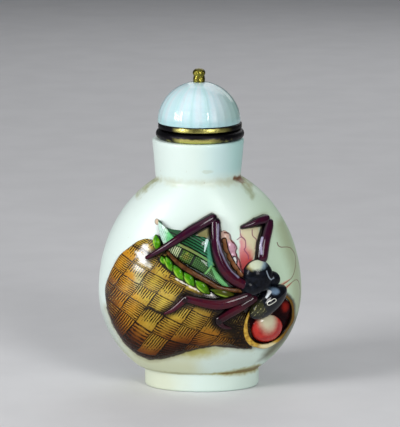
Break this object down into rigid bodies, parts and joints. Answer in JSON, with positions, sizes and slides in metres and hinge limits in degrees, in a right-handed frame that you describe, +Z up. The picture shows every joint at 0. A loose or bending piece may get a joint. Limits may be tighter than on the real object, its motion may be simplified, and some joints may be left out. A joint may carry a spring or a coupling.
{
  "type": "snuff bottle",
  "caption": "Flattened round white snuff bottle with a raised, enamelled katydid on a woven gourd, and a fluted dome stopper on a dark metal collar.",
  "frame": {"origin": "under the middle of the whole bottle's box, on the plane that the foot stands on", "axes": "+Z up the bottle, the raised picture faces -Y, +X to the right of someone who looks at the picture"},
  "size_m": [0.0438, 0.0308, 0.0695],
  "materials": {
    "porcelain": "glossy white glaze with painted enamels",
    "dark_bronze": "blackened, with worn gilding on the edges",
    "milky_dome": "polished, pale bluish white",
    "gilt": "worn gilding"
  },
  "bodies": {
    "root": {"bottle": "porcelain", "stopper_collar": "dark_bronze", "stopper_dome": "milky_dome", "stopper_finial": "gilt"}
  },
  "joints": []
}
